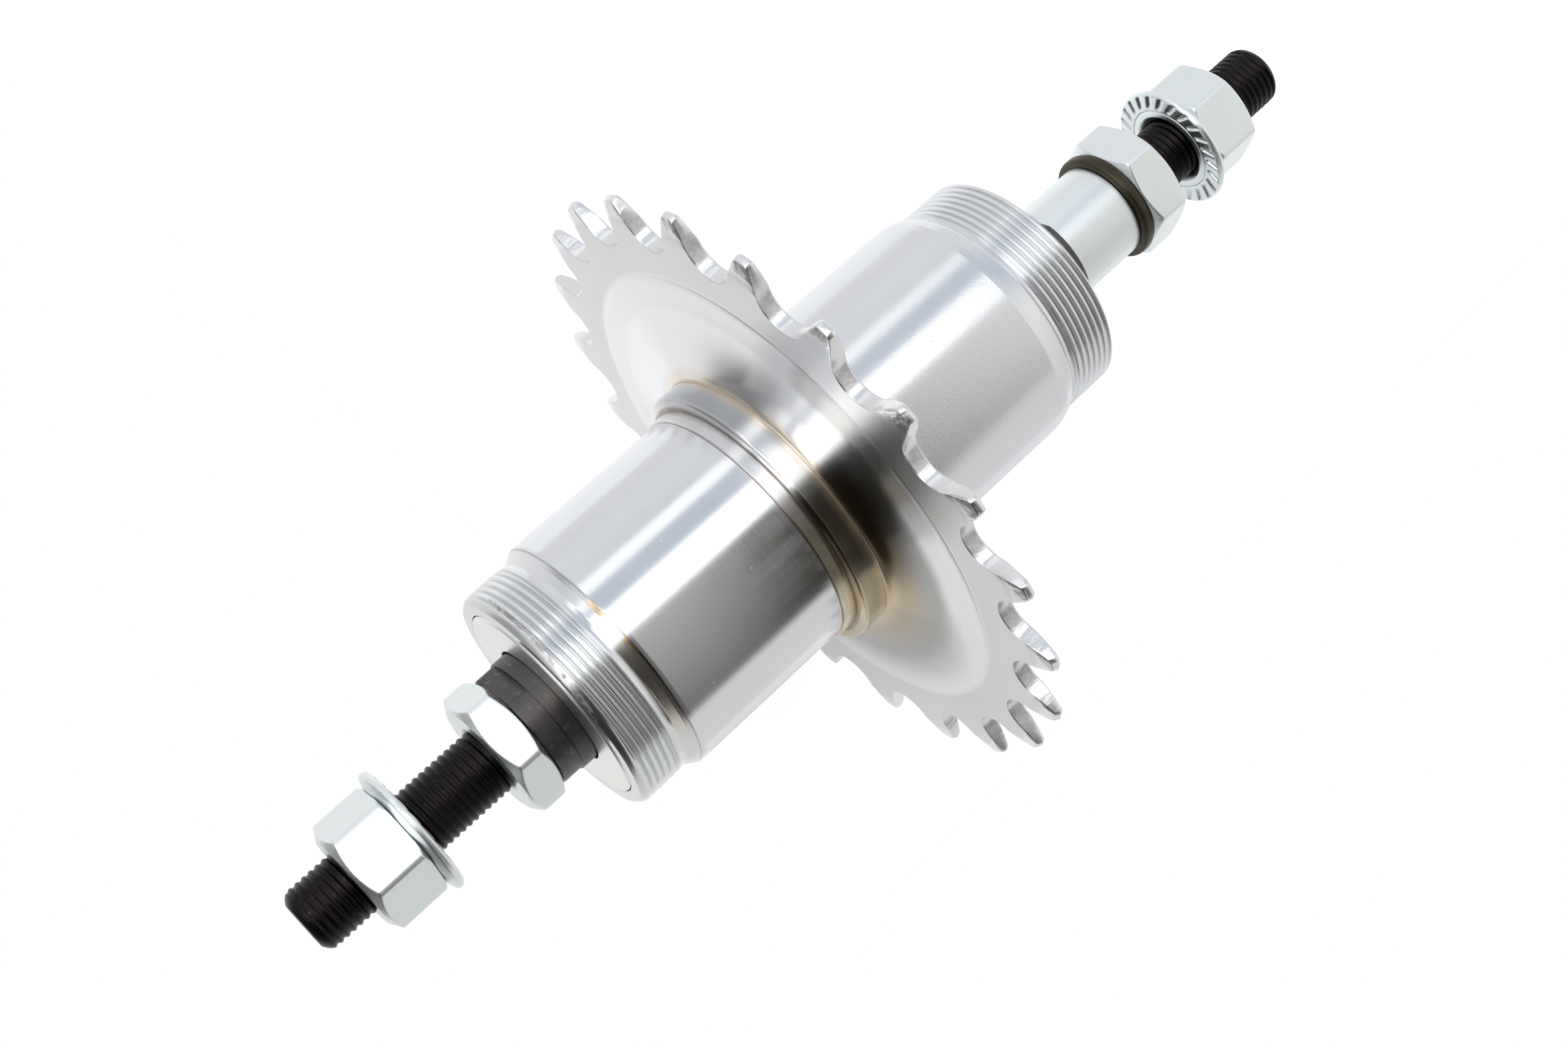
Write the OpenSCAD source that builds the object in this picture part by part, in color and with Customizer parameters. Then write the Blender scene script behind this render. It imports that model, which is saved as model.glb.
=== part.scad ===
// Drive hub of a tricycle: a threaded shell with a welded sprocket,
// turning on two cup and cone bearings round a fixed axle.
// The axle lies along Y, the left end towards -Y, and the origin is the
// middle of the sprocket's teeth.

/* [Sprocket] */
// Number of teeth
teeth = 22; // [20:1:26]
// Chain pitch
chain_pitch = 12.7; // [12.5:0.1:13.3]
// Diameter of the chain's rollers
roller_d = 7.75; // [7.2:0.05:8]
// Height of the tooth tips over the pitch circle
tooth_rise = 3.3; // [2.5:0.1:3.8]
// Thickness of the sheet
plate_t = 2.3; // [1.8:0.1:2.8]
// Thickness of the tooth tips
tip_t = 1.3; // [0.8:0.1:1.7]
// Diameter of the raised disc
raised_d = 72.3; // [66:0.1:74]
// Height of the raised disc over the toothed ring
raised_h = 0.35; // [0.2:0.05:0.6]
// Diameter at which the dish starts
dish_d = 57; // [52:0.5:62]
// Radius of the dish in section
dish_r = 15; // [13:0.5:18]
// Reach of the collar from the middle of the teeth
collar_reach = 7.4; // [6.5:0.1:9]
// Angle of the first tooth at rest
teeth_angle = 2.4; // [0:0.1:16]

/* [Stop ring] */
// Width of the ring
stop_w = 2.1; // [1.5:0.1:3]
// Height of the ring over the shell
stop_rise = 0.4; // [0.2:0.05:0.8]
// Depth of its groove in the shell
stop_seat = 0.8; // [0.4:0.1:1.2]

/* [Hub shell] */
// Length over both rims
shell_len = 89.6; // [84:0.1:110]
// Distance of the shell's middle from the middle of the teeth, to the right
shell_shift = 0.3; // [-2:0.1:2]
// Outside diameter of the tube
shell_d = 36.9; // [36.2:0.1:39]
// Width of the step that each cup sits against
cup_step = 1.3; // [0.8:0.1:3]
// Outside diameter of the end threads
thread_d = 34.92; // [34.6:0.01:35.4]
// Pitch of the end threads
thread_pitch = 1.058; // [0.9:0.001:1.3]
// Depth of the end threads
thread_h = 0.5; // [0.4:0.05:0.7]
// Width of their crests
thread_land = 0.6; // [0.57:0.01:0.75]
// Left thread, measured from its rim
left_thread_len = 6.5; // [5:0.1:9]
// Right thread, measured from its rim
right_thread_len = 7.7; // [5:0.1:9]
// Diameter of the neck behind each thread
neck_d = 34.2; // [33.4:0.1:34.5]
// Length of the left neck
left_neck_len = 1.2; // [0.8:0.1:3]
// Length of the right neck
right_neck_len = 1.8; // [0.8:0.1:3]
// Length of the left shoulder
left_shoulder_len = 1.8; // [1:0.1:3]
// Length of the right shoulder
right_shoulder_len = 2.3; // [1:0.1:3]
// Length of the bevel at the left rim
left_bevel_len = 1.1; // [0.3:0.1:1.6]
// Drop of the bevel at the left rim
left_bevel_drop = 0.5; // [0.2:0.05:0.8]
// Length of the bevel at the right rim
right_bevel_len = 0.4; // [0.3:0.1:1.6]
// Drop of the bevel at the right rim
right_bevel_drop = 0.3; // [0.2:0.05:0.8]

/* [Bearings] */
// Diameter of the balls
ball_d = 6.35; // [6:0.05:6.6]
// Balls in each bearing
ball_count = 9; // [7:1:9]
// Distance of the balls' middles from the rim
ball_inset = 5.3; // [5.2:0.1:6]
// Outside diameter of the cups
cup_d = 30; // [29:0.1:30.6]
// Thickness of a cup's wall beside the balls
cup_wall = 1.07; // [0.9:0.01:1.4]
// Thickness of a cup's floor
cup_floor = 1.3; // [1:0.1:2]
// Reach of a cup's wall past the balls' middles
cup_lip = 1.8; // [1.2:0.1:1.9]
// Thickness of a ball retainer
retainer_t = 0.8; // [0.6:0.1:0.9]
// Reach of a ball retainer outside the circle of the balls' middles
retainer_out = 2; // [1.8:0.1:2.3]
// Reach of a ball retainer inside that circle
retainer_in = 1.3; // [1:0.1:1.4]

/* [Dust caps] */
// Thickness of the caps
cap_t = 0.8; // [0.6:0.1:0.9]
// How far a cap stands out of its rim
cap_proud = 0.2; // [0:0.05:0.5]
// Gap between a cap's edge and the shell
cap_edge_gap = 0.1; // [0.05:0.01:0.2]
// Gap between a cap's hole and its cone
cap_hole_gap = 0.25; // [0.15:0.01:0.4]

/* [Cones] */
// Rise of a cone's collar over its nose
cone_rise = 1.37; // [1.2:0.01:1.6]
// Drop from the collar to the part with the wrench flats
cone_end_drop = 0.25; // [0.1:0.05:0.5]
// Depth of the wrench flats
cone_flat_depth = 1.1; // [0.6:0.1:1.6]
// Length of the wrench flats
cone_flats_len = 3; // [2:0.1:4]
// How far a cone stands out of its rim
cone_out = 5.4; // [4.5:0.1:8]
// Reach of a cone's nose past the balls' middles
cone_nose = 2.9; // [2:0.1:3.2]
// Angle of the wrench flats at rest
flats_angle = 122; // [0:1:179]

/* [Axle] */
// Diameter of the axle
axle_d = 9.525; // [9:0.005:10]
// Pitch of its thread
axle_pitch = 1.058; // [0.9:0.001:1.3]
// Depth of its thread
axle_thread_h = 0.55; // [0.4:0.05:0.7]
// Width of its crests
axle_thread_land = 0.32; // [0.2:0.01:0.5]
// Diameter of its plain middle
axle_core_d = 8.9; // [8:0.1:9]
// Reach past the left lock nut
left_axle_out = 30.4; // [24:0.1:36]
// Reach past the right lock nut
right_axle_out = 26.4; // [22:0.1:36]
// Chamfer of the tips
axle_chamfer = 1; // [0.5:0.1:1.5]

/* [Lock nuts] */
// Distance across the flats
lock_af = 17; // [16:0.5:19]
// Height of the left lock nut
left_lock_h = 5.2; // [4:0.1:8]
// Height of the right lock nut
right_lock_h = 6.4; // [4:0.1:8]
// Chamfer of the left lock nut's corners
left_lock_chamfer = 1.5; // [0.8:0.1:1.6]
// Chamfer of the right lock nut's corners
right_lock_chamfer = 1.3; // [0.6:0.1:1.4]
// Angle of a flat of the left lock nut at rest
left_lock_angle = 80; // [0:1:359]
// Angle of a flat of the right lock nut at rest
right_lock_angle = 55; // [0:1:359]

/* [Sleeve and washer] */
// Diameter of the spacer sleeve
sleeve_d = 14.8; // [13:0.1:16.5]
// Length of the spacer sleeve
sleeve_len = 12; // [8:0.1:18]
// Diameter of the black washer
washer_d = 17.2; // [15:0.1:18.5]
// Thickness of the black washer
washer_t = 1.8; // [1:0.1:3]
// Bevel of the black washer's edge
washer_bevel = 0.3; // [0.1:0.05:0.4]

/* [Axle nuts] */
// Distance across the flats
nut_af = 15; // [14:0.1:16]
// Height of the hex
nut_h = 8.4; // [6:0.1:11]
// Chamfer of the outer corners
nut_chamfer = 1.6; // [0.6:0.1:1.6]
// Diameter of the captive washer
flange_d = 19; // [18:0.1:21]
// Thickness of the captive washer
flange_t = 1.8; // [1.6:0.1:2.4]
// Serrations on the captive washer
serration_count = 24; // [16:1:30]
// Width of a serration
serration_w = 0.45; // [0.3:0.05:0.7]
// Depth of a serration
serration_h = 0.35; // [0.2:0.05:0.6]
// Lean of a serration from the radius, the same way on both nuts as their faces are seen
serration_lean = 28; // [0:1:40]
// Diameter of the skirt that carries the washer
skirt_d = 12.2; // [11.8:0.1:12.4]
// Diameter of the swaged lip that keeps the washer on
lip_d = 13.3; // [13:0.1:14]
// Thickness of the swaged lip
lip_t = 0.6; // [0.4:0.05:0.8]
// Chamfer of the nut's bore
bore_chamfer = 0.85; // [0.4:0.05:0.95]
// Gap from the left lock nut to the left washer at rest
left_dropout_gap = 12.4; // [6:0.1:14]
// Gap from the right lock nut to the right washer at rest
right_dropout_gap = 6.7; // [5:0.1:12]
// Angle of a flat of the left axle nut at rest
left_nut_angle = 77; // [0:1:359]
// Angle of a flat of the right axle nut at rest
right_nut_angle = 54; // [0:1:359]

/* [Fits] */
// Radial clearance between pieces that turn or slide on each other
run_gap = 0.05; // [0.02:0.01:0.09]
// Radial clearance between pieces that stay together
seat_gap = 0.01; // [0.01:0.01:0.03]
// Radial clearance between the axle and what slips over its thread
slip_gap = 0.12; // [0.1:0.01:0.2]

/* [Hidden] */
$fn = 96;
LEFT = -1;
RIGHT = 1;
// Overreach of a cutting shape
CUT = 1;
// Share of a thread's groove that its flat root takes
ROOT_SHARE = 0.2;
// Share of a shoulder's drop that is reached half way along it
SHOULDER_BULGE = 0.25;
// Angle round the balls at which a cup's race meets its floor
CUP_RACE_END = 100;
// Slope of the turned-off corners of a hex
HEX_SLOPE = 30;
// Bevel of a cone's nose
NOSE_BEVEL = 0.5;
// Bevel of the collar's edge, and start of the tooth bevel inside the pitch circle
COLLAR_BEVEL = 0.3;
TOOTH_BEVEL = 1;
ARC_STEPS = 12;

axle_r = axle_d / 2;
shell_r = shell_d / 2;
ball_r = ball_d / 2;
race_r = ball_r + run_gap;
cup_r = cup_d / 2;
core_r = cup_r - cup_step;
ball_circle_r = cup_r - cup_wall - race_r;
cone_nose_r = ball_circle_r - race_r;
cone_r = cone_nose_r + cone_rise;
cone_end_r = cone_r - cone_end_drop;
nut_bore_r = axle_r + run_gap;
fixed_bore_r = axle_r + seat_gap;

// Places along the shell and its bearings, measured from the shell's middle
rim = shell_len / 2;
ball_s = rim - ball_inset;
cup_start = ball_s - race_r - cup_floor;
cup_end = ball_s + cup_lip;
cap_face = rim + cap_proud;
cone_end = rim + cone_out;

pitch_r = chain_pitch / 2 / sin(180 / teeth);
tip_r = pitch_r + tooth_rise;
seat_r = roller_d / 2 + run_gap;
// The curved flank of a tooth, from the roller's seat outwards
flank_start_angle = 17;
flank_end_angle = 44;
flank_r = 15;
dish_centre = [dish_d / 2, -plate_t / 2 - raised_h - dish_r];
collar_r = shell_r + plate_t;

// Places along the axle, measured from the middle of the teeth
left_cone_end = shell_shift - cone_end;
right_cone_end = shell_shift + cone_end;
left_nose = shell_shift - (ball_s - cone_nose);
right_nose = shell_shift + (ball_s - cone_nose);
left_lock_face = left_cone_end - left_lock_h;
sleeve_end = right_cone_end + sleeve_len;
washer_end = sleeve_end + washer_t;
right_lock_face = washer_end + right_lock_h;
left_tip = left_lock_face - left_axle_out;
right_tip = right_lock_face + right_axle_out;
left_flange_face = left_lock_face - left_dropout_gap;
right_flange_face = right_lock_face + right_dropout_gap;

// Points along an arc in the section plane, angles from +r towards +s
function arc(centre, radius, from, to) =
    [for (i = [0 : ARC_STEPS]) let (a = from + (to - from) * i / ARC_STEPS)
        centre + radius * [cos(a), sin(a)]];

// The same outline on the other side of the middle, run through backwards
function flipped(points) =
    [for (i = [len(points) - 1 : -1 : 0]) [points[i][0], -points[i][1]]];

// Ring grooves of a thread from one place to another, flat crests between them
function thread(from, to, radius, depth, pitch, land) =
    let (grooves = floor((to - from) / pitch), lead = (to - from - grooves * pitch) / 2,
         flank = (pitch - land) * (1 - ROOT_SHARE) / 2)
    [for (i = [0 : grooves - 1]) let (s = from + lead + i * pitch)
        each [[radius, s + land / 2], [radius - depth, s + land / 2 + flank],
              [radius - depth, s + pitch - land / 2 - flank], [radius, s + pitch - land / 2]]];

// A section of radius and place along the axle, turned round the axle
module turned(points) rotate([-90, 0, 0]) rotate_extrude() polygon(points);

// A flat shape in X and Z, given a length along the axle
module along_axle(from, to)
    translate([0, to, 0]) rotate([90, 0, 0]) linear_extrude(to - from) children();

// Turns its children round the axle, from +X towards +Z
module round_axle(angle) rotate([0, -angle, 0]) children();

// Turns what is drawn facing right to either side
module facing(side) mirror([0, side == LEFT ? 1 : 0, 0]) children();

// The same, for what belongs to a bearing and is measured from the shell's middle
module bearing_side(side) translate([0, shell_shift, 0]) facing(side) children();

// The axle's thread from one place to another
function axle_thread(from, to) = thread(from, to, axle_r, axle_thread_h, axle_pitch, axle_thread_land);

module axle() {
    color([0.12, 0.11, 0.11])
        turned(concat(
            [[0, left_tip], [axle_r - axle_chamfer, left_tip], [axle_r, left_tip + axle_chamfer]],
            axle_thread(left_tip + axle_chamfer, left_cone_end),
            [[axle_r, left_nose], [axle_core_d / 2, left_nose + axle_chamfer],
             [axle_core_d / 2, right_nose - axle_chamfer], [axle_r, right_nose]],
            axle_thread(right_cone_end, right_tip - axle_chamfer),
            [[axle_r, right_tip - axle_chamfer], [axle_r - axle_chamfer, right_tip], [0, right_tip]]
        ));
}

// One end of the shell, from the tube out to the edge of the bearing's bore
function shell_end(thread_len, neck_len, shoulder_len, bevel_len, bevel_drop) =
    let (thread_start = rim - thread_len, neck_start = thread_start - neck_len)
    concat(
        [[shell_r, neck_start - shoulder_len],
         [shell_r - SHOULDER_BULGE * (shell_d - neck_d) / 2, neck_start - shoulder_len / 2],
         [neck_d / 2, neck_start], [neck_d / 2, thread_start], [thread_d / 2, thread_start]],
        thread(thread_start, rim - bevel_len, thread_d / 2, thread_h, thread_pitch, thread_land),
        [[thread_d / 2, rim - bevel_len], [thread_d / 2 - bevel_drop, rim], [cup_r, rim]]
    );

module hub_shell() {
    groove_start = -collar_reach - stop_w - shell_shift;
    groove_end = -collar_reach - shell_shift;
    color([0.80, 0.81, 0.83]) translate([0, shell_shift, 0])
        turned(concat(
            flipped(shell_end(left_thread_len, left_neck_len, left_shoulder_len,
                              left_bevel_len, left_bevel_drop)),
            [[shell_r, groove_start], [shell_r - stop_seat, groove_start],
             [shell_r - stop_seat, groove_end], [shell_r, groove_end]],
            shell_end(right_thread_len, right_neck_len, right_shoulder_len,
                      right_bevel_len, right_bevel_drop),
            [[cup_r, cup_start], [core_r, cup_start], [core_r, -cup_start], [cup_r, -cup_start]]
        ));
}

module sprocket_stop_ring() {
    inner_r = shell_r - stop_seat + seat_gap;
    color([0.78, 0.74, 0.68])
        turned([
            [inner_r, -collar_reach], [inner_r, -collar_reach - stop_w],
            [shell_r + stop_rise / 2, -collar_reach - stop_w],
            [shell_r + stop_rise, -collar_reach - stop_w + stop_rise / 2],
            [shell_r + stop_rise, -collar_reach]
        ]);
}

// The space between two teeth: the roller's seat and two curved flanks
module tooth_gap() {
    seat_edge = [pitch_r - seat_r * sin(flank_start_angle), seat_r * cos(flank_start_angle)];
    centre = seat_edge + flank_r * [-sin(flank_start_angle), cos(flank_start_angle)];
    flank = arc(centre, flank_r, flank_start_angle - 90, flank_end_angle - 90);
    translate([pitch_r, 0]) circle(r = seat_r);
    polygon(concat(flank, [for (i = [len(flank) - 1 : -1 : 0]) [flank[i][0], -flank[i][1]]]));
}

module sprocket() {
    bore_r = shell_r + seat_gap;
    back_r = dish_r + plate_t;
    // Where the dish's two arcs end: the front one on the collar, the back one at the bore
    front_end = acos((collar_r - dish_centre[0]) / dish_r);
    back_end = acos((bore_r - dish_centre[0]) / back_r);
    face = plate_t / 2;
    bevel_start = pitch_r - TOOTH_BEVEL;
    color([0.72, 0.72, 0.72]) difference() {
        turned(concat(
            [[bore_r, -collar_reach], [collar_r - COLLAR_BEVEL, -collar_reach],
             [collar_r, -collar_reach + COLLAR_BEVEL]],
            arc(dish_centre, dish_r, front_end, 90),
            [[raised_d / 2 - raised_h, -face - raised_h], [raised_d / 2, -face],
             [bevel_start, -face], [tip_r, -tip_t / 2], [tip_r, tip_t / 2], [bevel_start, face],
             [raised_d / 2, face], [raised_d / 2 - raised_h, face - raised_h]],
            arc(dish_centre, back_r, 90, back_end)
        ));
        for (i = [0 : teeth - 1])
            round_axle(teeth_angle + 360 * (i + 0.5) / teeth)
                along_axle(-face - CUT, face + CUT) tooth_gap();
    }
}

module bearing_cup(side) {
    color([0.62, 0.62, 0.63]) bearing_side(side)
        turned(concat(
            [[cup_r - seat_gap, cup_start], [cup_r - seat_gap, cup_end]],
            [[ball_circle_r + race_r, cup_end]],
            arc([ball_circle_r, ball_s], race_r, 0, -CUP_RACE_END),
            [[ball_circle_r + race_r * cos(CUP_RACE_END), cup_start]]
        ));
}

// Puts a copy of its children at the middle of each ball
module on_ball_places() {
    for (i = [0 : ball_count - 1])
        round_axle(360 * i / ball_count) translate([ball_circle_r, ball_s, 0]) children();
}

module bearing_balls(side) {
    color([0.85, 0.85, 0.86]) bearing_side(side) on_ball_places() sphere(r = ball_r);
}

// A ring outside the balls with fingers that reach in between them
module ball_retainer(side) {
    back = ball_s + race_r;
    hole_r = ball_circle_r - retainer_in;
    edge_r = ball_circle_r + retainer_out;
    color([0.55, 0.52, 0.45]) bearing_side(side) difference() {
        turned([
            [hole_r, back - retainer_t], [edge_r - retainer_t, back - retainer_t],
            [edge_r - retainer_t, ball_s + retainer_t / 2], [edge_r, ball_s + retainer_t / 2],
            [edge_r, back], [hole_r, back]
        ]);
        on_ball_places() sphere(r = race_r);
    }
}

module cone(side) {
    // The race ends where it reaches the collar
    race_end = 180 - acos((ball_circle_r - cone_r) / race_r);
    flats_start = cone_end - cone_flats_len;
    race = arc([ball_circle_r, ball_s], race_r, 180, race_end);
    color([0.13, 0.12, 0.12]) bearing_side(side) difference() {
        turned(concat(
            [[fixed_bore_r, ball_s - cone_nose], [cone_nose_r - NOSE_BEVEL, ball_s - cone_nose],
             [cone_nose_r, ball_s - cone_nose + NOSE_BEVEL]],
            race,
            [[cone_r, flats_start], [cone_end_r, flats_start], [cone_end_r, cone_end],
             [fixed_bore_r, cone_end]]
        ));
        for (turn = [0, 180])
            round_axle(flats_angle + turn)
                translate([cone_end_r - cone_flat_depth, flats_start, -cone_r])
                    cube([cone_r, cone_flats_len + CUT, 2 * cone_r]);
    }
}

module dust_cap(side) {
    edge_r = cup_r - cap_edge_gap;
    color([0.84, 0.84, 0.82]) bearing_side(side)
        turned([
            [cone_r + cap_hole_gap, cap_face - cap_t], [edge_r - cap_t, cap_face - cap_t],
            [edge_r - cap_t, cup_end], [edge_r, cup_end], [edge_r, cap_face - cap_t / 2],
            [edge_r - cap_t / 2, cap_face], [cone_r + cap_hole_gap, cap_face]
        ]);
}

// A hex prism whose corners are turned off at either end
module hex_body(af, from, to, start_chamfer, end_chamfer) {
    corner_r = af / sqrt(3);
    drop = tan(HEX_SLOPE);
    intersection() {
        along_axle(from, to) rotate(30) circle(r = corner_r, $fn = 6);
        turned([
            [0, from], [corner_r - start_chamfer, from], [corner_r, from + start_chamfer * drop],
            [corner_r, to - end_chamfer * drop], [corner_r - end_chamfer, to], [0, to]
        ]);
    }
}

// A bore along the axle, chamfered at both of its mouths
module chamfered_bore(radius, from, to, chamfer) {
    turned([
        [0, from - CUT], [radius + chamfer + CUT, from - CUT], [radius, from + chamfer],
        [radius, to - chamfer], [radius + chamfer + CUT, to + CUT], [0, to + CUT]
    ]);
}

module lock_nut(from, to, chamfer, turn) {
    color([0.82, 0.84, 0.84]) difference() {
        round_axle(turn) hex_body(lock_af, from, to, chamfer, chamfer);
        chamfered_bore(fixed_bore_r, from, to, axle_thread_h);
    }
}

module spacer_sleeve() {
    color([0.80, 0.83, 0.84])
        turned([
            [axle_r + slip_gap, right_cone_end], [sleeve_d / 2, right_cone_end],
            [sleeve_d / 2, sleeve_end], [axle_r + slip_gap, sleeve_end]
        ]);
}

module lock_washer() {
    color([0.20, 0.18, 0.16])
        turned([
            [axle_r + slip_gap, sleeve_end], [washer_d / 2 - washer_bevel, sleeve_end],
            [washer_d / 2, sleeve_end + washer_bevel], [washer_d / 2, washer_end - washer_bevel],
            [washer_d / 2 - washer_bevel, washer_end], [axle_r + slip_gap, washer_end]
        ]);
}

// A nut drawn for the right side: a lip, a skirt and a hex, outwards from the flange face
module axle_nut(side, face, turn) {
    place = side * face;
    hex_start = place + flange_t + run_gap;
    hex_end = hex_start + nut_h;
    color([0.82, 0.84, 0.84]) facing(side) difference() {
        union() {
            turned([
                [0, place], [lip_d / 2, place], [lip_d / 2, place + lip_t - run_gap],
                [skirt_d / 2, place + lip_t - run_gap], [skirt_d / 2, hex_start], [0, hex_start]
            ]);
            round_axle(turn) hex_body(nut_af, hex_start, hex_end, 0, nut_chamfer);
        }
        chamfered_bore(nut_bore_r, place, hex_end, bore_chamfer);
    }
}

// The captive washer, its serrated face towards the hub
module nut_washer(side, face) {
    place = side * face;
    hole_r = skirt_d / 2 + run_gap;
    lip_hole_r = lip_d / 2 + run_gap;
    flange_r = flange_d / 2;
    back_r = nut_af / 2;
    color([0.78, 0.81, 0.81]) facing(side) difference() {
        turned([
            [lip_hole_r, place], [flange_r - serration_h, place], [flange_r, place + serration_h],
            [flange_r, place + flange_t - serration_h], [back_r, place + flange_t],
            [hole_r, place + flange_t], [hole_r, place + lip_t], [lip_hole_r, place + lip_t]
        ]);
        for (i = [0 : serration_count - 1])
            round_axle(360 * i / serration_count) translate([lip_hole_r + serration_w, place - CUT, 0])
                rotate([0, side * serration_lean, 0]) translate([0, 0, -serration_w / 2])
                    cube([flange_r, CUT + serration_h, serration_w]);
    }
}

axle();
hub_shell();
sprocket();
sprocket_stop_ring();
bearing_cup(LEFT);  // left_bearing_cup
bearing_cup(RIGHT);  // right_bearing_cup
bearing_balls(LEFT);  // left_bearing_balls
bearing_balls(RIGHT);  // right_bearing_balls
ball_retainer(LEFT);  // left_ball_retainer
ball_retainer(RIGHT);  // right_ball_retainer
cone(LEFT);  // left_cone
cone(RIGHT);  // right_cone
dust_cap(LEFT);  // left_dust_cap
dust_cap(RIGHT);  // right_dust_cap
lock_nut(left_lock_face, left_cone_end, left_lock_chamfer, left_lock_angle);  // left_lock_nut
lock_nut(washer_end, right_lock_face, right_lock_chamfer, right_lock_angle);  // right_lock_nut
spacer_sleeve();
lock_washer();
axle_nut(LEFT, left_flange_face, left_nut_angle);  // left_axle_nut
axle_nut(RIGHT, right_flange_face, right_nut_angle);  // right_axle_nut
nut_washer(LEFT, left_flange_face);  // left_nut_washer
nut_washer(RIGHT, right_flange_face);  // right_nut_washer
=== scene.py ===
import math

import bmesh
import bpy
from mathutils import Matrix, Vector


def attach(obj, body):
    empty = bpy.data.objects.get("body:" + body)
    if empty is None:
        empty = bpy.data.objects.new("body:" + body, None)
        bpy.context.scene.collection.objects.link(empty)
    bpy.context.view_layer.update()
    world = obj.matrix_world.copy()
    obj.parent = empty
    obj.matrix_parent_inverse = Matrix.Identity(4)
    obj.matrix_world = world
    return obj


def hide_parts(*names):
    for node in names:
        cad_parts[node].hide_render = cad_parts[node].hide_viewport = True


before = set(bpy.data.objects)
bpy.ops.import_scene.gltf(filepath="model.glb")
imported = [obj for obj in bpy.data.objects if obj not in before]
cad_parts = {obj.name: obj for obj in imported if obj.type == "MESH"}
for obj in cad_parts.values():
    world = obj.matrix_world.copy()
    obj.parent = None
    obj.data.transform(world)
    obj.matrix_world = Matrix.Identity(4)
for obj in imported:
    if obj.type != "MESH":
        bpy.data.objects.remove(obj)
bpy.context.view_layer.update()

MM = 0.001
TURN = 2 * math.pi
WELD_DISTANCE = 2e-6

# Places along the axle and radii, in millimetres, as in the CAD part
CHAIN_SIDE = -1
FREE_SIDE = 1
END_NAME = {CHAIN_SIDE: "left", FREE_SIDE: "right"}
SHELL_MIDDLE = 0.3
RIM = 44.8
SHELL_R = 18.45
CORE_R = 13.7
CUP_R = 15.0
CUP_SEAT = 34.975
NECK_R = 17.1
HUB_THREAD_R = 17.46
THREAD_PITCH = 1.058
STOP_START = -9.5
STOP_END = -7.4
AXLE_R = 4.7625
AXLE_CORE_R = 4.45
THREAD_CREST_R = 4.67
LEFT_TIP = -85.5
LEFT_LOCK_FACE = -55.1
LEFT_CONE_END = -49.9
RIGHT_CONE_END = 50.5
SLEEVE_END = 62.5
WASHER_END = 64.3
RIGHT_LOCK_FACE = 70.7
RIGHT_TIP = 97.1
LEFT_NUT_FACE = -67.5
RIGHT_NUT_FACE = 77.4

# The sprocket: teeth for a half-inch chain, a raised disc, a dish of two arcs and a collar
TEETH = 22
HALF_TOOTH = math.pi / TEETH
FIRST_TOOTH = math.radians(2.4)
CHAIN_PITCH = 12.7
SHEET_HALF = 1.15
DISC_R = 36.2
DISH_CENTRE = (35.75, -51.35)
DISH_FRONT_R = 50.1
DISH_BACK_R = 52.4
COLLAR_R = 20.75
COLLAR_FOOT = -3.66

# The bearings, with places measured from the shell's middle
BALLS = 9
BALL_R = 3.175
BALL_CIRCLE_R = 10.705
BALL_PLACE = 39.5
CONE_RACE_R = 3.225

# The nuts and their washers
LOCK_NUT_FLATS = 17.0
AXLE_NUT_FLATS = 15.0
HEX_SLOPE = math.tan(math.radians(30))
SERRATIONS = 24


# Node trees

class Wire:
    """An output socket that takes part in sums. Each sum adds a Math node."""

    def __init__(self, works, socket):
        self.works = works
        self.socket = socket

    def __add__(self, other):
        return self.works.maths("ADD", self, other)

    def __radd__(self, other):
        return self.works.maths("ADD", other, self)

    def __sub__(self, other):
        return self.works.maths("SUBTRACT", self, other)

    def __rsub__(self, other):
        return self.works.maths("SUBTRACT", other, self)

    def __mul__(self, other):
        return self.works.maths("MULTIPLY", self, other)

    def __rmul__(self, other):
        return self.works.maths("MULTIPLY", other, self)

    def __truediv__(self, other):
        return self.works.maths("DIVIDE", self, other)

    def __pow__(self, other):
        return self.works.maths("POWER", self, other)

    def __abs__(self):
        return self.works.maths("ABSOLUTE", self)


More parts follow.
